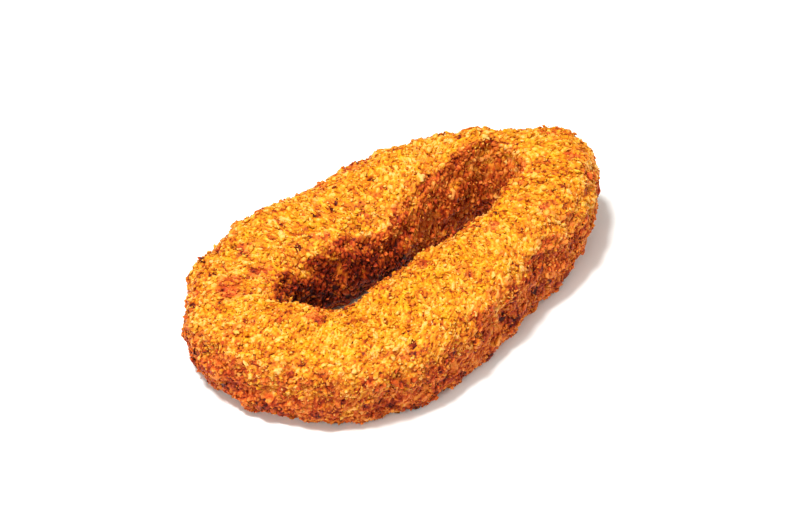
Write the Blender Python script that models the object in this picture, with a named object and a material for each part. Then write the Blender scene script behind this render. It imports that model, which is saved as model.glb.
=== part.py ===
"""A breaded onion ring, lying flat.

One closed solid: a thick ring of crumbed batter, longer than it is wide, fat at
its -X end and thin at its +X end, round a narrow slit-like hole.
Metres, +Z up. The origin is under the middle of the ring, on the surface it lies on.
"""
import math

import bpy
from mathutils import Vector, noise

# Driving dimensions, in metres.
LENGTH = 0.0662
WIDTH = 0.0396
HEIGHT = 0.0136
HOLE_LENGTH = 0.0412
HOLE_WIDTH = 0.0082

# How the plain ovals of the ring and of its hole are bent out of true.
TAPER = 0.24              # share by which the +X end is narrower than the middle
END_PUSH = 0.0026         # how far the thin end is pushed sideways, towards -Y
OUTLINE_WAVES = (         # waves round the ring: how many, cosine and sine part
    (2, 0.0004, -0.0004),
    (3, 0.0002, 0.0002),
    (4, -0.0003, -0.0005),
)
HOLE_SHIFT = 0.0021       # the hole lies towards the thin end
HOLE_TAPER = -0.09
HOLE_BOW = 0.0013         # bows the slit, its ends towards +Y
HOLE_SWAY = 0.0012        # sways the slit's two sides
HOLE_LEAN = 0.0013        # the hole's walls lean, its foot towards -Y
END_RISE = 0.11           # share by which the thin end stands higher and the fat end lower
ROUNDNESS = 3.0           # exponent of the cross-section, where 2 is an ellipse

# The hand-made unevenness of the crust.
LUMPS = (                 # spacing and depth of the swells, coarse to fine
    (0.0130, 0.0007),
    (0.0060, 0.0004),
)
LUMP_SEED = Vector((3.7, 1.9, 8.2))
FLAT_DEPTH = 0.0005       # how much of the underside is pressed flat

RING_SEGMENTS = 116
SECTION_SEGMENTS = 34

CRUST_COLOR = (0.80, 0.36, 0.045, 1.0)
CRUST_ROUGHNESS = 0.75


def clear_scene():
    for item in list(bpy.data.objects):
        bpy.data.objects.remove(item, do_unlink=True)


def crust_material():
    material = bpy.data.materials.new("crust")
    material.use_nodes = True
    shader = material.node_tree.nodes["Principled BSDF"]
    shader.inputs["Base Color"].default_value = CRUST_COLOR
    shader.inputs["Roughness"].default_value = CRUST_ROUGHNESS
    shader.inputs["Metallic"].default_value = 0.0
    return material


def outer_outline(turn):
    """The ring's outer edge, seen from above, at an angle round it."""
    half_length = LENGTH / 2
    half_width = WIDTH / 2
    x = half_length * math.cos(turn)
    y = half_width * math.sin(turn) * (1 - TAPER * math.cos(turn))
    along_x = -half_length * math.sin(turn)
    along_y = half_width * (math.cos(turn) - TAPER * math.cos(2 * turn))
    outward = Vector((along_y, -along_x, 0)).normalized()
    wave = sum(a * math.cos(n * turn) + b * math.sin(n * turn) for n, a, b in OUTLINE_WAVES)
    push = END_PUSH * ((1 + math.cos(turn)) / 2) ** 3
    return Vector((x, y - push, 0)) + outward * wave


def hole_outline(turn):
    """The edge of the hole at half height, at the same angle."""
    x = HOLE_SHIFT + HOLE_LENGTH / 2 * math.cos(turn)
    y = HOLE_WIDTH / 2 * math.sin(turn) * (1 - HOLE_TAPER * math.cos(turn))
    y += HOLE_BOW * math.cos(2 * turn) + HOLE_SWAY * math.sin(3 * turn)
    return Vector((x, y, 0))


def rounded(value):
    """A sine or cosine squared off from an ellipse to the crust's fuller section."""
    return math.copysign(abs(value) ** (2 / ROUNDNESS), value)


def surface_point(turn, roll):
    """A point of the smooth crust: turn goes round the ring, roll round its section."""
    outside = outer_outline(turn)
    inside = hole_outline(turn)
    half_height = HEIGHT / 2 * (1 + END_RISE * math.cos(turn))
    across = rounded(math.cos(roll))
    above = rounded(math.sin(roll))
    point = (outside + inside) / 2 + (outside - inside) / 2 * across
    point.y += HOLE_LEAN * above * (1 - across) / 2
    point.z = half_height * (1 + above)
    return point


def swell(point):
    """How far the crust swells out, or sinks in, at a point."""
    return sum(depth * noise.noise(point / spacing + LUMP_SEED) for spacing, depth in LUMPS)


def make_ring(collection):
    """A torus whose points are moved onto the crust's surface."""
    bpy.ops.mesh.primitive_torus_add(
        major_segments=RING_SEGMENTS,
        minor_segments=SECTION_SEGMENTS,
        major_radius=2.0,
        minor_radius=1.0,
    )
    ring = bpy.context.object
    ring.name = "onion_ring"
    mesh = ring.data
    mesh.name = "onion_ring"
    for vertex in mesh.vertices:
        x, y, z = vertex.co
        turn = math.atan2(y, x)
        roll = math.atan2(z, math.hypot(x, y) - 2.0)
        vertex.co = surface_point(turn, roll)
    mesh.update()
    swollen = [v.co + v.normal * swell(v.co) for v in mesh.vertices]
    for vertex, point in zip(mesh.vertices, swollen):
        vertex.co = point
        vertex.co.z = max(point.z, FLAT_DEPTH)
    mesh.update()
    centre_on_floor(mesh)
    mesh.shade_smooth()
    mesh.materials.append(crust_material())
    for owner in list(ring.users_collection):
        owner.objects.unlink(ring)
    collection.objects.link(ring)
    return ring


def centre_on_floor(mesh):
    """Puts the middle of the underside at the origin."""
    lowest = Vector(min(v.co[axis] for v in mesh.vertices) for axis in range(3))
    highest = Vector(max(v.co[axis] for v in mesh.vertices) for axis in range(3))
    middle = (lowest + highest) / 2
    for vertex in mesh.vertices:
        vertex.co -= Vector((middle.x, middle.y, lowest.z))
    mesh.update()


def main():
    clear_scene()
    collection = bpy.data.collections.new("onion_ring")
    bpy.context.scene.collection.children.link(collection)
    make_ring(collection)


main()
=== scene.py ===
"""The looks of a breaded onion ring: a fried crust with its crumbs, on a pale floor."""
import math

import bmesh
import bpy
import numpy as np
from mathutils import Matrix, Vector, noise
from mathutils.kdtree import KDTree


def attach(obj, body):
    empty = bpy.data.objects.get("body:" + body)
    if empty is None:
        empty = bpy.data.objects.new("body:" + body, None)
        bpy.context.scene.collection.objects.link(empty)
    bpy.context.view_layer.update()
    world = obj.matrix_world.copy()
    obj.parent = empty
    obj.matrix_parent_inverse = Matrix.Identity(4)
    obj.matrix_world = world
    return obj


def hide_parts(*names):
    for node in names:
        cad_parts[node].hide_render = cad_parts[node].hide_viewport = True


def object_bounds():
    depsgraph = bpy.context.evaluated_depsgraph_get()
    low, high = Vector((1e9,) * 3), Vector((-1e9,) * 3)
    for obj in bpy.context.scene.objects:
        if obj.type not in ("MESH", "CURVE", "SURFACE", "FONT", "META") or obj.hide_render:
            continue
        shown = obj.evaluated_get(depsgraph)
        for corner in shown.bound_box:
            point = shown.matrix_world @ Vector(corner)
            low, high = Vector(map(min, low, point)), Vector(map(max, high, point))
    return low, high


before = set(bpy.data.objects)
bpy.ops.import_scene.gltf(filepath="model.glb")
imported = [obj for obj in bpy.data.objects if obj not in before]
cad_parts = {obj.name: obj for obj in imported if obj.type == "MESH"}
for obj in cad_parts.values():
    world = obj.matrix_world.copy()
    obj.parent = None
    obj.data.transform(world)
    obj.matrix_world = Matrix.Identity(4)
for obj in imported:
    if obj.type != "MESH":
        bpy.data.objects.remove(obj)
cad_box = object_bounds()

NODE = "onion_ring"
SEED = 20
MM = 0.001

LOW, HIGH = (np.array(corner) for corner in cad_box)
MIDDLE = Vector((LOW + HIGH) / 2)
HALF_LENGTH = (HIGH[0] - LOW[0]) / 2
HALF_WIDTH = (HIGH[1] - LOW[1]) / 2
HEIGHT = HIGH[2] - LOW[2]
SLIT = (-0.40, 0.52)       # where the hole's middle line starts and ends, in shares of the half length

# The camera: azimuth 0 looks along +Y.
VIEW_AZIMUTH = math.radians(-42.0)
VIEW_ELEVATION = math.radians(43.1)
VIEW_DISTANCE = 1.10
VIEW_SCALE = 7000.0        # image pixels per metre at the ring
IMAGE_WIDTH = 800
SENSOR_WIDTH = 36.0        # millimetres

# The lamps, placed as seen from the camera: metres to the left of the ring, nearer and up.
WARM = (1.0, 0.93, 0.84)
LAMPS = {
    "key": dict(left=0.22, near=0.12, up=0.95, size=0.24, power=13.8, color=(1.0, 0.97, 0.91)),
    "side": dict(left=-0.80, near=-0.10, up=0.55, size=0.50, power=2.4, color=WARM),
    "fill": dict(left=0.30, near=0.80, up=0.60, size=0.60, power=4.0, color=WARM),
}
ROOM_COLOR = (1.0, 0.88, 0.76)     # soft light from all round
ROOM_STRENGTH = 0.46
BACKDROP_COLOR = (1.0, 1.0, 1.0)
FLOOR_COLOR = (0.86, 0.92, 0.97)   # a little blue, so that shadows look grey in the warm light
FLOOR_ROUGHNESS = 0.6
FLOOR_SIZE = 0.7
FLOOR_GAP = 0.02 * MM              # between the ring's foot and the floor

# The crust: a smooth body whose surface is broken up into packed crumbs.
SWELL = (                  # lumps and dips: spacing, height, seed
    (6.5 * MM, 0.30 * MM, 34),
    (3.4 * MM, 0.26 * MM, 31),
    (1.8 * MM, 0.20 * MM, 32),
)
RIM_SWELL = 0.8            # how much lumpier the sides are than the top
INSET = 0.30 * MM          # how far the body lies inside the CAD surface, to leave room for crumbs
WELD = 0.001 * MM          # corners closer than this are one
FINENESS = 2               # rounds of subdivision
CELLS = 9500               # packed crumbs in the relief, at most
CELL_TRIES = 4             # places tried for each of them
CELL_GAP = 0.62 * MM       # distance kept between their middles
RELIEF = 0.44 * MM         # height of the tallest packed crumbs above the grooves between them
LOWEST_CELL = 0.25         # height of the lowest, as a share of that
GROOVE = 0.32 * MM         # width of the grooves
ROUGH = 0.06 * MM          # height of the roughness on top of it all

# Separate crumbs, sunk into the crust, one line a kind: how many, smallest and largest radius, how
# finely each is shaped, how far its middle stands out, in radii, and how much rarer it is on top.
KINDS = {
    "crumbs_coarse": dict(count=1200, low=0.42 * MM, high=0.82 * MM, rounds=2, standing=0.00, rarer=0.60),
    "crumbs_medium": dict(count=2480, low=0.30 * MM, high=0.50 * MM, rounds=2, standing=0.05, rarer=0.35),
    "crumbs_small": dict(count=9600, low=0.22 * MM, high=0.36 * MM, rounds=1, standing=0.15, rarer=0.0),
    "crumbs_fine": dict(count=9600, low=0.12 * MM, high=0.24 * MM, rounds=1, standing=0.25, rarer=0.0),
}
CRUMB_TRIES = 5            # places tried for each crumb
CRUMB_GAP = 1.1            # distance kept between their middles, in smallest radii
LARGE_RARITY = 2.5         # a power: the higher, the rarer the larger crumbs of a kind
UNEVEN_STANDING = 0.2      # how much further in or out a crumb may be, in radii
TILT = 0.45                # how far crumbs tip from lying flat
SHAPES = 16                # different crumbs in each kind
CHIPS = (5, 10)            # flat sides chipped off each: at least the first and fewer than the second
CHIP_PLACES = (0.30, 0.80)         # how far from its middle a flat side lies, in radii
ROUGH_SHAPE = 0.16                 # how far its corners are moved in and out
WIDTHS = (0.55, 0.95)              # its width, as a share of its length
THICKNESSES = (0.42, 0.90)         # its thickness, likewise
SHARP_ANGLE = math.radians(65)

# How pale a crumb is before grain and mottling: 0 is dark and 1 is pale.
PALE_TONES = (0.2, 1.0)
BROWNED_TONES = (-0.10, 0.20)
BURNT_TONE = -0.6
BROWNED_CRUMBS = 0.10      # share of the crumbs that are browned, the burnt ones among them
BURNT_CRUMBS = 0.006       # share that is nearly black

# Where the crust is browned, and where painted shade darkens it. Heights are shares of the ring's height.
FOOT_TOP = 0.36            # where the band round the foot ends, browned and darkened with painted shade
FRONT_RISE = 0.30          # how much higher it reaches on the near side, towards the thin end
RUST_TOP = 0.80            # where the browning of the hole's wall ends
RUST_RISE = 0.12           # how much higher it reaches towards the thin end
HOLE_SHADE_TOP = 0.76            # where the painted shade deep in the hole ends
HOLE_SHADE_DROP = 0.54           # how much lower it ends towards the thin end
# Round the foot the brown is both fried colour and painted shade.
FOOT_BROWNING_AND_SHADE = 1.05
SIDE_SHADE = 0.12       # painted shade: red brown added on all steep sides
UPRIGHT_SHADE = 0.30    # painted shade: more red brown where they are upright
RIM_BROWNING = 0.45        # of the outer edge in the far half
RUST_BROWNING = 0.90
PATCH_BROWNING = 0.40      # added in patches all over
SCORCH_AND_SHADE = 0.75              # how dark the patches on the low outer side are: partly scorched crust, partly painted shade
UNEVEN_BROWNING = 1.0      # how far the browning differs from one crumb to the next
SIDE_WARMTH = 0.70         # how much further the steep sides lean to peach: painted warm shade
FAR_WARMTH = 0.12          # the same for the half at +Y

# Random fields over the surface: spacing and seed.
RAGGED = (2.6 * MM, 11)
WAVY = (7 * MM, 12)
PATCHY = (3.2 * MM, 5)
# The next field spreads the dark patches low outside, partly scorch and partly painted shade.
SCORCH_AND_SHADE_FIELD = (2.2 * MM, 15)
ROUGHENED = (0.45 * MM, 3)
RAGGED_SIZE = 0.14         # how far the ragged and the wavy field move a browned area's edge
WAVY_SIZE = 0.22
NOISE_GAIN = 1.6           # brings Blender's noise to about -1 to 1

# Browned spots on top: shares of half length and half width, radius, strength.
BROWN_SPOTS = (
    (-0.72, 0.48, 2.2 * MM, 0.52),
    (-0.54, 0.44, 1.4 * MM, 0.45),
    (0.01, 0.69, 1.2 * MM, 0.65),
    (-0.58, -0.16, 2.0 * MM, 0.60),
    (-0.71, -0.02, 1.2 * MM, 0.45),
    (-0.48, 0.67, 1.5 * MM, 0.35),
    (0.40, 0.42, 2.2 * MM, 0.30),
    (0.62, 0.10, 2.0 * MM, 0.35),
    (0.56, -0.55, 2.0 * MM, 0.45),
)

# The material: linear colours by tone, from the darkest to the palest.
GOLDEN = (
    (0.00, (0.060, 0.008, 0.003)),
    (0.12, (0.190, 0.022, 0.002)),
    (0.28, (0.372, 0.075, 0.002)),
    (0.48, (0.518, 0.167, 0.002)),
    (0.68, (0.622, 0.257, 0.003)),
    (0.85, (0.700, 0.328, 0.005)),
    (1.00, (0.760, 0.410, 0.042)),
)
PEACH = (
    (0.00, (0.070, 0.008, 0.004)),
    (0.12, (0.200, 0.022, 0.004)),
    (0.28, (0.390, 0.064, 0.005)),
    (0.48, (0.530, 0.144, 0.009)),
    (0.68, (0.636, 0.238, 0.012)),
    (0.85, (0.722, 0.322, 0.032)),
    (1.00, (0.792, 0.435, 0.130)),
)
BROWNED = (
    (0.00, (0.045, 0.005, 0.003)),
    (0.20, (0.140, 0.010, 0.004)),
    (0.45, (0.320, 0.032, 0.006)),
    (0.70, (0.500, 0.078, 0.010)),
    (1.00, (0.680, 0.190, 0.030)),
)
ROUGHNESS = (              # by mottling: a faint sheen of oil here, dry there
    (0.35, (0.36, 0.36, 0.36)),
    (0.65, (0.60, 0.60, 0.60)),
)
GRAIN_SPACING = 0.5 * MM
MOTTLE_SPACING = 2.5 * MM
WARMTH_SPACING = 1.6 * MM
PORE_SPACING = 0.16 * MM
TONE_SHARE = 0.55          # how much of the tone comes from the crumb, the grain and the mottling
GRAIN_SHARE = 1.45
MOTTLE_SHARE = 0.75
BATTER_LEVEL = -0.62       # added to the tone of the crust
CRUMB_LEVEL = -0.52        # added to the tone of the separate crumbs
GROOVE_SHADE = 0.45        # painted shade: taken off the tone in the grooves, at the crumbs' feet, deep in the hole and in the dark patches low outside
BROWNING_GRAIN = 0.9       # how far the grain breaks up the browned areas' edges
BROWNING_CONTRAST = 1.6    # how sharply golden turns to brown
BROWNING_START = -0.3      # below 0, so that the lightest browning still looks golden
GRAIN_DEPTH = 0.25 * MM
GRAIN_BUMP = 0.6
PORE_DEPTH = 0.08 * MM
PORE_BUMP = 0.5
SUBSURFACE = 0.24
SUBSURFACE_RADIUS = (1.2 * MM, 0.4 * MM, 0.1 * MM)
SPECULAR = 0.10


# ---------------------------------------------------------------- where the crust is browned and where shade is painted

def smoothstep(low, high, value):
    share = np.clip((value - low) / (high - low), 0.0, 1.0)
    return share * share * (3 - 2 * share)


def field(points, spacing, seed):
    """Smooth random values, about -1 to 1, at points."""
    shift = Vector((seed, seed * 0.37, -seed))
    return np.array([noise.noise(Vector(p) / spacing + shift) for p in points]) * NOISE_GAIN


def outward_share(points, normals):
    """1 where the crust faces away from the hole, -1 where it faces into it, 0 on top and below."""
    slit = np.zeros_like(points)
    slit[:, 0] = np.clip(points[:, 0], SLIT[0] * HALF_LENGTH, SLIT[1] * HALF_LENGTH)
    away = points - slit
    away[:, 2] = 0
    away /= np.maximum(np.linalg.norm(away, axis=1), 1e-9)[:, None]
    return (away * normals).sum(1)


def steepness(points, normals):
    """0 on top and below, 1 where the side is steep."""
    return smoothstep(0.1, 0.85, np.abs(outward_share(points, normals)))


class Places:
    """Points on the crust, with all that their brown colour and painted shade depend on."""

    def __init__(self, points, normals):
        self.length = points[:, 0] / HALF_LENGTH
        self.width = points[:, 1] / HALF_WIDTH
        self.height = points[:, 2] / HEIGHT
        self.outward = outward_share(points, normals)
        self.steep = steepness(points, normals)
        self.wavy = field(points, *WAVY) * WAVY_SIZE
        self.ragged = field(points, *RAGGED) * RAGGED_SIZE
        self.patchy = field(points, *PATCHY)
        self.scorch_and_shade = field(points, *SCORCH_AND_SHADE_FIELD)


def foot(at):
    """1 in the band round the foot, which is browned and darkened with painted shade, 0 above it."""
    front = smoothstep(0.1, -0.7, at.width) * smoothstep(-0.6, 0.3, at.length)
    edge = FOOT_TOP + FRONT_RISE * front + at.ragged + at.wavy * 0.7
    return 1 - smoothstep(edge - 0.32, edge + 0.16, at.height)


def wall(at):
    """1 on the wall of the hole, 0 elsewhere."""
    return smoothstep(0.25, 0.75, -at.outward + at.ragged)


def rusty_wall(at):
    """How far the wall of the hole is browned."""
    edge = RUST_TOP + RUST_RISE * smoothstep(-0.1, 0.35, at.length) + at.ragged + at.wavy * 0.5
    return wall(at) * (1 - smoothstep(edge - 0.25, edge + 0.10, at.height)) * RUST_BROWNING


def far_rim(at):
    """How far the outer edge of the far half is browned."""
    rim = smoothstep(0.45, 0.75, at.outward + at.ragged) * smoothstep(0.20, 0.70, at.width)
    return rim * (RIM_BROWNING + at.wavy)


def spots(at):
    """How far the spots on top are browned."""
    brown = np.zeros_like(at.height)
    on_top = smoothstep(0.45, 0.6, at.height)
    for x, y, radius, strength in BROWN_SPOTS:
        away = np.hypot((at.length - x) * HALF_LENGTH, (at.width - y) * HALF_WIDTH) / radius
        spot = 1 - smoothstep(0.35, 1.1, away + at.ragged * 3)
        brown = np.maximum(brown, strength * spot * on_top)
    return brown


def browning_and_shade(at):
    """How far the crust is red brown, 0 to 1: browned by frying, and on the sides and round the foot
    partly painted shade.
    """
    upright = smoothstep(0.55, 0.95, np.abs(at.outward))
    brown = foot(at) * (FOOT_BROWNING_AND_SHADE + at.wavy * 0.8) + SIDE_SHADE * at.steep
    brown = brown + UPRIGHT_SHADE * upright
    for more in (far_rim(at), rusty_wall(at), spots(at)):
        brown = np.maximum(brown, more)
    patches = smoothstep(0.30, 0.85, at.patchy) * PATCH_BROWNING
    return np.clip(brown + patches, 0, 1)


def painted_shade_and_scorch(at):
    """Painted shade deep in the hole, and dark patches on the low outer side that are partly scorch and
    partly painted shade, 0 to 1.
    """
    edge = HOLE_SHADE_TOP - HOLE_SHADE_DROP * smoothstep(-0.15, 0.25, at.length) + at.ragged * 0.6
    # Painted shade deep on the wall of the hole.
    hole_shade = wall(at) * (1 - smoothstep(edge - 0.20, edge + 0.08, at.height))
    scorch_and_shade = smoothstep(0.15, 0.60, at.scorch_and_shade) * SCORCH_AND_SHADE
    return np.maximum(hole_shade, scorch_and_shade * foot(at) * smoothstep(0.3, 0.8, at.outward))


def peach_lean(at):
    """How much the place adds to its crumbs' lean from yellow gold to peach; on the steep sides it is a
    painted warm shade.
    """
    return SIDE_WARMTH * at.steep + FAR_WARMTH * smoothstep(-0.1, 0.5, at.width)


def frying_and_painted_shade(points, normals):
    """Brown colour, dark values and lean to peach at points, each partly painted shade."""
    at = Places(points, normals)
    return np.array([browning_and_shade(at), painted_shade_and_scorch(at), peach_lean(at)])


def uneven(brown, chance):
    """Browning that differs from crumb to crumb, where there is any, by a chance of 0 to 1 for each."""
    return brown + (chance - 0.5) * UNEVEN_BROWNING * smoothstep(0.02, 0.30, brown)


# ---------------------------------------------------------------- meshes

def crumb_tones(count, rng):
    """How pale each crumb is: mostly pale, with some browned ones and a few that are nearly black."""
    tones = rng.uniform(*PALE_TONES, count)
    kind = rng.random(count)
    browned = kind < BROWNED_CRUMBS
    tones[browned] = rng.uniform(*BROWNED_TONES, browned.sum())
    tones[kind < BURNT_CRUMBS] = BURNT_TONE
    return tones


def write_float(mesh, name, values):
    attribute = mesh.attributes.new(name, "FLOAT", "POINT")
    attribute.data.foreach_set("value", np.asarray(values, np.float32))


def write_looks(mesh, count, owner, fried, groove, rng):
    """Writes what the material reads at each vertex; owner says which of count crumbs it is in."""
    # fried: brown colour, dark values and lean to peach, each partly painted shade.
    brown, dark, lean = fried
    write_float(mesh, "tone", crumb_tones(count, rng)[owner])
    write_float(mesh, "warmth", rng.random(count)[owner] + lean)
    write_float(mesh, "browning_and_shade", uneven(brown, rng.random(count)[owner]))
    # Painted shade: the grooves and the crumbs' feet, plus the dark values.
    write_float(mesh, "groove", groove + dark)


def read_points(mesh):
    points = np.empty(len(mesh.vertices) * 3, np.float32)
    mesh.vertices.foreach_get("co", points)
    normals = np.empty_like(points)
    mesh.vertices.foreach_get("normal", normals)
    return points.reshape(-1, 3).astype(float), normals.reshape(-1, 3).astype(float)


def read_triangles(mesh):
    mesh.calc_loop_triangles()
    corners = np.empty(len(mesh.loop_triangles) * 3, np.int32)
    mesh.loop_triangles.foreach_get("vertices", corners)
    return corners.reshape(-1, 3)


def move_out(mesh, points, normals, height):
    """Moves a mesh's points out along their normals, but not below the ring's flat foot."""
    moved = points + normals * height[:, None]
    moved[:, 2] = np.maximum(moved[:, 2], LOW[2])
    mesh.vertices.foreach_set("co", moved.astype(np.float32).ravel())
    mesh.update()


def add_object(name, mesh):
    piece = bpy.data.objects.new(name, mesh)
    bpy.context.scene.collection.objects.link(piece)
    return piece


def lumpy_copy_of_cad():
    """The CAD ring's surface, welded, subdivided, made lumpy and drawn in except underneath."""
    copy = add_object("crust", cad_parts[NODE].data.copy())
    cage = bmesh.new()
    cage.from_mesh(copy.data)
    bmesh.ops.remove_doubles(cage, verts=cage.verts, dist=WELD)
    cage.to_mesh(copy.data)
    cage.free()
    subdivision = copy.modifiers.new("fine", "SUBSURF")
    subdivision.levels = FINENESS
    subdivision.render_levels = FINENESS
    graph = bpy.context.evaluated_depsgraph_get()
    fine = bpy.data.meshes.new_from_object(copy.evaluated_get(graph))
    copy.modifiers.clear()
    copy.data = fine
    fine.materials.clear()
    fine.shade_smooth()
    points, normals = read_points(fine)
    height = sum(tall * field(points, spacing, seed) for spacing, tall, seed in SWELL)
    height *= 1 + RIM_SWELL * steepness(points, normals)
    height -= INSET * smoothstep(-0.9, -0.3, normals[:, 2])
    move_out(fine, points, normals, height)
    return copy


def sample_surface(points, normals, triangles, count, rng):
    """Random places on a surface, evenly spread by area, with their normals."""
    a, b, c = (points[triangles[:, i]] for i in range(3))
    areas = np.linalg.norm(np.cross(b - a, c - a), axis=1) / 2
    chosen = rng.choice(len(triangles), count, p=areas / areas.sum())
    u, v = rng.random(count), rng.random(count)
    flip = u + v > 1
    u[flip], v[flip] = 1 - u[flip], 1 - v[flip]
    weights = np.stack([1 - u - v, u, v], 1)[:, :, None]
    places = (points[triangles[chosen]] * weights).sum(1)
    outward = (normals[triangles[chosen]] * weights).sum(1)
    return places, outward / np.linalg.norm(outward, axis=1)[:, None]


def thin_out(places, gap):
    """Indices of places that keep a gap to those taken before them.

    A grid cell remembers only the last place taken in it, so a few may be a little closer.
    """
    grid = {}
    kept = []
    cells = np.floor(places / gap).astype(int)
    around = [(i, j, k) for i in (-1, 0, 1) for j in (-1, 0, 1) for k in (-1, 0, 1)]
    for index, (x, y, z) in enumerate(cells):
        near = [grid.get((x + i, y + j, z + k)) for i, j, k in around]
        if any(n is not None and np.sum((places[n] - places[index]) ** 2) < gap * gap for n in near):
            continue
        grid[(x, y, z)] = index
        kept.append(index)
    return np.array(kept)


def pack_relief(piece, rng):
    """Breaks the smooth surface up into crumbs packed side by side, each with its own height.

    Returns the surface as it was before: points, normals and triangles.
    """
    points, normals = read_points(piece.data)
    triangles = read_triangles(piece.data)
    seeds, _ = sample_surface(points, normals, triangles, CELLS * CELL_TRIES, rng)
    seeds = seeds[thin_out(seeds, CELL_GAP)][:CELLS]
    tree = KDTree(len(seeds))
    for index, place in enumerate(seeds):
        tree.insert(place, index)
    tree.balance()
    nearest = np.empty(len(points), int)
    groove = np.empty(len(points))
    for index, point in enumerate(points):
        first, second = tree.find_n(point, 2)
        nearest[index] = first[1]
        groove[index] = second[2] - first[2]
    standing = rng.uniform(LOWEST_CELL, 1.0, len(seeds))[nearest]
    dome = smoothstep(0, GROOVE, groove)
    height = RELIEF * (standing * dome - 0.5) + ROUGH * field(points, *ROUGHENED)
    move_out(piece.data, points, normals, height)
    # 1 - dome is painted shade in the grooves between the packed crumbs.
    write_looks(piece.data, len(seeds), nearest, frying_and_painted_shade(points, normals), 1 - dome, rng)
    return points, normals, triangles


def crumb_shape(rounds, rng):
    """One broken crumb, about 1 in radius: a ball chipped flat on several sides, long or flaky."""
    ball = bmesh.new()
    bmesh.ops.create_icosphere(ball, subdivisions=rounds, radius=1.0)
    shape = np.array([v.co for v in ball.verts])
    faces = np.array([[v.index for v in f.verts] for f in ball.faces])
    ball.free()
    for _ in range(rng.integers(*CHIPS)):
        side = rng.normal(size=3)
        side /= np.linalg.norm(side)
        over = np.maximum(shape @ side - rng.uniform(*CHIP_PLACES), 0)
        shape -= over[:, None] * side
    shape *= 1 + rng.normal(scale=ROUGH_SHAPE, size=(len(shape), 1))
    return shape * np.array([1.0, rng.uniform(*WIDTHS), rng.uniform(*THICKNESSES)]), faces


def placed_axes(outward, rng):
    """For each crumb, three axes: lying on the surface, spun at random and tilted a little."""
    up = outward + rng.normal(scale=TILT, size=outward.shape)
    up /= np.linalg.norm(up, axis=1)[:, None]
    along = np.cross(up, rng.normal(size=up.shape))
    along /= np.linalg.norm(along, axis=1)[:, None]
    return np.stack([along, np.cross(up, along), up], 1)


def spread_crumbs(surface, rng, count, gap, rarer):
    """Places for crumbs, with their normals: a gap apart, and rarer on top than on the sides."""
    places, outward = sample_surface(*surface, count * CRUMB_TRIES, rng)
    taken = rng.random(len(places)) < 1 - rarer * (1 - steepness(places, outward))
    places, outward = places[taken], outward[taken]
    kept = thin_out(places, gap)[:count]
    return places[kept], outward[kept]


def make_crumbs(name, surface, rng, count, low, high, rounds, standing, rarer):
    """All the crumbs of one kind, joined in one mesh."""
    places, outward = spread_crumbs(surface, rng, count, low * CRUMB_GAP, rarer)
    count = len(places)
    radius = low + (high - low) * rng.random(count) ** LARGE_RARITY
    axes = placed_axes(outward, rng)
    out = standing + rng.uniform(-UNEVEN_STANDING, UNEVEN_STANDING, count)
    centres = places + outward * (radius * out)[:, None]
    shapes = [crumb_shape(rounds, rng) for _ in range(SHAPES)]
    which = rng.integers(len(shapes), size=count)
    points, faces, owner, start = [], [], [], 0
    for index, (shape, shape_faces) in enumerate(shapes):
        mine = np.flatnonzero(which == index)
        scaled = shape[None, :, :] * radius[mine, None, None]
        points.append((np.einsum("nvi,nij->nvj", scaled, axes[mine]) + centres[mine, None]).reshape(-1, 3))
        offsets = start + np.arange(len(mine)) * len(shape)
        faces.append((shape_faces[None] + offsets[:, None, None]).reshape(-1, 3))
        owner.append(np.repeat(mine, len(shape)))
        start += len(mine) * len(shape)
    points, faces, owner = np.concatenate(points), np.concatenate(faces), np.concatenate(owner)
    height = ((points - places[owner]) * outward[owner]).sum(1) / radius[owner]
    points[:, 2] = np.maximum(points[:, 2], LOW[2])
    mesh = bpy.data.meshes.new(name)
    mesh.from_pydata(points.tolist(), [], faces.tolist())
    mesh.shade_smooth()
    mesh.set_sharp_from_angle(angle=SHARP_ANGLE)
    # Painted shade: each crumb is darker where it sinks into the crust.
    sunk = 1 - smoothstep(0.0, 0.6, height)
    write_looks(mesh, count, owner, frying_and_painted_shade(places, outward)[:, owner], sunk, rng)
    return add_object(name, mesh)


# ---------------------------------------------------------------- materials

class Nodes:
    """Short-hand for adding and linking shader nodes."""

    def __init__(self, material):
        material.use_nodes = True
        self.tree = material.node_tree
        self.shader = self.tree.nodes["Principled BSDF"]

    def add(self, kind, **settings):
        node = self.tree.nodes.new(kind)
        for name, value in settings.items():
            setattr(node, name, value)
        return node

    def link(self, source, target):
        self.tree.links.new(source, target)

    def attribute(self, name):
        return self.add("ShaderNodeAttribute", attribute_name=name).outputs["Fac"]

    def noise(self, spacing, detail=3.0, roughness=0.6):
        place = self.add("ShaderNodeTexCoord").outputs["Object"]
        node = self.add("ShaderNodeTexNoise")
        node.inputs["Scale"].default_value = 1 / spacing
        node.inputs["Detail"].default_value = detail
        node.inputs["Roughness"].default_value = roughness
        self.link(place, node.inputs["Vector"])
        return node.outputs["Fac"]

    def maths(self, operation, first, second, third=0.0, clamp=False):
        node = self.add("ShaderNodeMath", operation=operation, use_clamp=clamp)
        for value, socket in zip((first, second, third), node.inputs):
            if isinstance(value, (int, float)):
                socket.default_value = value
            else:
                self.link(value, socket)
        return node.outputs[0]

    def ramp(self, value, stops):
        node = self.add("ShaderNodeValToRGB")
        elements = node.color_ramp.elements
        while len(elements) < len(stops):
            elements.new(0.5)
        for element, (position, color) in zip(elements, stops):
            element.position = position
            element.color = (*color, 1.0)
        self.link(value, node.inputs["Fac"])
        return node.outputs["Color"]

    def mix(self, share, first, second):
        node = self.add("ShaderNodeMix", data_type="RGBA")
        self.link(share, node.inputs["Factor"])
        self.link(first, node.inputs["A"])
        self.link(second, node.inputs["B"])
        return node.outputs["Result"]

    def bump(self, height, distance, strength, normal=None):
        node = self.add("ShaderNodeBump")
        node.inputs["Distance"].default_value = distance
        node.inputs["Strength"].default_value = strength
        self.link(height, node.inputs["Height"])
        if normal is not None:
            self.link(normal, node.inputs["Normal"])
        return node.outputs["Normal"]


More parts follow.
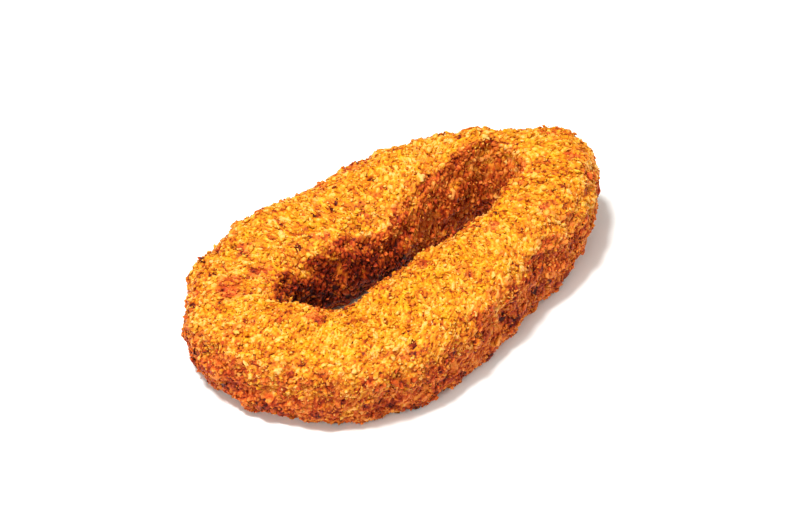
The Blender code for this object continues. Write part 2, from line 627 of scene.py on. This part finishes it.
def crust_material(name, level):
    """Fried crumb: golden to brown by crumb and by place, with painted shade in grooves and dark places,
    grainy, with a faint sheen of oil.
    """
    material = bpy.data.materials.new(name)
    nodes = Nodes(material)
    grain = nodes.noise(GRAIN_SPACING, detail=4)
    mottle = nodes.noise(MOTTLE_SPACING, detail=2)
    tone = nodes.maths("MULTIPLY", nodes.attribute("tone"), TONE_SHARE)
    tone = nodes.maths("ADD", tone, nodes.maths("MULTIPLY", grain, GRAIN_SHARE))
    tone = nodes.maths("ADD", tone, nodes.maths("MULTIPLY", mottle, MOTTLE_SHARE))
    tone = nodes.maths("ADD", tone, level)
    # Painted shade: tone taken off in the grooves, at the crumbs' feet and in dark places.
    shade = nodes.maths("MULTIPLY", nodes.attribute("groove"), GROOVE_SHADE)
    tone = nodes.maths("SUBTRACT", tone, shade, clamp=True)
    warmth = nodes.maths("ADD", nodes.attribute("warmth"), nodes.noise(WARMTH_SPACING, detail=2))
    warmth = nodes.maths("SUBTRACT", warmth, 0.5, clamp=True)
    share = nodes.maths("MULTIPLY", nodes.maths("SUBTRACT", grain, 0.5), BROWNING_GRAIN)
    # The brown share: fried colour, and painted shade on the sides and round the foot.
    share = nodes.maths("ADD", share, nodes.attribute("browning_and_shade"))
    share = nodes.maths("MULTIPLY_ADD", share, BROWNING_CONTRAST, BROWNING_START, clamp=True)
    golden = nodes.mix(warmth, nodes.ramp(tone, GOLDEN), nodes.ramp(tone, PEACH))
    color = nodes.mix(share, golden, nodes.ramp(tone, BROWNED))
    nodes.link(color, nodes.shader.inputs["Base Color"])
    nodes.link(nodes.ramp(mottle, ROUGHNESS), nodes.shader.inputs["Roughness"])
    bumps = nodes.bump(grain, GRAIN_DEPTH, GRAIN_BUMP)
    bumps = nodes.bump(nodes.noise(PORE_SPACING), PORE_DEPTH, PORE_BUMP, bumps)
    nodes.link(bumps, nodes.shader.inputs["Normal"])
    nodes.shader.inputs["Subsurface Weight"].default_value = SUBSURFACE
    nodes.shader.inputs["Subsurface Radius"].default_value = SUBSURFACE_RADIUS
    nodes.shader.inputs["Subsurface Scale"].default_value = 1.0
    nodes.shader.inputs["Specular IOR Level"].default_value = SPECULAR
    return material


# ---------------------------------------------------------------- the studio

def make_floor():
    place = (MIDDLE.x, MIDDLE.y, LOW[2] - FLOOR_GAP)
    bpy.ops.mesh.primitive_plane_add(size=FLOOR_SIZE, location=place)
    floor = bpy.context.object
    floor.name = "floor"
    material = bpy.data.materials.new("floor")
    material.use_nodes = True
    shader = material.node_tree.nodes["Principled BSDF"]
    shader.inputs["Base Color"].default_value = (*FLOOR_COLOR, 1.0)
    shader.inputs["Roughness"].default_value = FLOOR_ROUGHNESS
    floor.data.materials.append(material)


def make_lamp(name, left, near, up, size, power, color):
    """A soft round lamp that shines on the ring."""
    data = bpy.data.lights.new(name, "AREA")
    data.shape = "DISK"
    data.size = size
    data.energy = power
    data.color = color
    lamp = bpy.data.objects.new(name, data)
    bpy.context.scene.collection.objects.link(lamp)
    to_left = Vector((-math.cos(VIEW_AZIMUTH), -math.sin(VIEW_AZIMUTH), 0))
    to_camera = Vector((math.sin(VIEW_AZIMUTH), -math.cos(VIEW_AZIMUTH), 0))
    place = to_left * left + to_camera * near + Vector((0, 0, up))
    lamp.location = MIDDLE + place
    lamp.rotation_euler = (-place).to_track_quat("-Z", "Y").to_euler()


def make_world():
    """Soft light from all round, in front of a plain white backdrop."""
    world = bpy.data.worlds.new("studio")
    world.use_nodes = True
    nodes = world.node_tree.nodes
    background = nodes["Background"]
    background.inputs["Color"].default_value = (*ROOM_COLOR, 1.0)
    background.inputs["Strength"].default_value = ROOM_STRENGTH
    backdrop = nodes.new("ShaderNodeBackground")
    backdrop.inputs["Color"].default_value = (*BACKDROP_COLOR, 1.0)
    mix = nodes.new("ShaderNodeMixShader")
    links = world.node_tree.links
    links.new(nodes.new("ShaderNodeLightPath").outputs["Is Camera Ray"], mix.inputs["Fac"])
    links.new(background.outputs["Background"], mix.inputs[1])
    links.new(backdrop.outputs["Background"], mix.inputs[2])
    links.new(mix.outputs["Shader"], nodes["World Output"].inputs["Surface"])
    bpy.context.scene.world = world


def make_camera():
    """A long lens, level and without shift, that looks down on the ring."""
    back = Vector((
        math.sin(VIEW_AZIMUTH) * math.cos(VIEW_ELEVATION),
        -math.cos(VIEW_AZIMUTH) * math.cos(VIEW_ELEVATION),
        math.sin(VIEW_ELEVATION),
    ))
    data = bpy.data.cameras.new("camera")
    data.sensor_width = SENSOR_WIDTH
    data.lens = SENSOR_WIDTH * VIEW_SCALE * VIEW_DISTANCE / IMAGE_WIDTH
    data.clip_end = 20
    camera = bpy.data.objects.new("camera", data)
    bpy.context.scene.collection.objects.link(camera)
    camera.location = MIDDLE + back * VIEW_DISTANCE
    camera.rotation_euler = (-back).to_track_quat("-Z", "Y").to_euler()
    bpy.context.scene.camera = camera


# ---------------------------------------------------------------- the whole

def build():
    rng = np.random.default_rng(SEED)
    make_camera()
    make_world()
    for name, lamp in LAMPS.items():
        make_lamp(name, **lamp)
    make_floor()
    crust = lumpy_copy_of_cad()
    surface = pack_relief(crust, rng)
    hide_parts(NODE)
    pieces = [(crust, crust_material("batter", BATTER_LEVEL))]
    for name, kind in KINDS.items():
        pieces.append((make_crumbs(name, surface, rng, **kind), crust_material(name, CRUMB_LEVEL)))
    for piece, material in pieces:
        piece.data.materials.append(material)
        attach(piece, "root")
    bpy.context.scene.view_settings.view_transform = "Standard"


build()
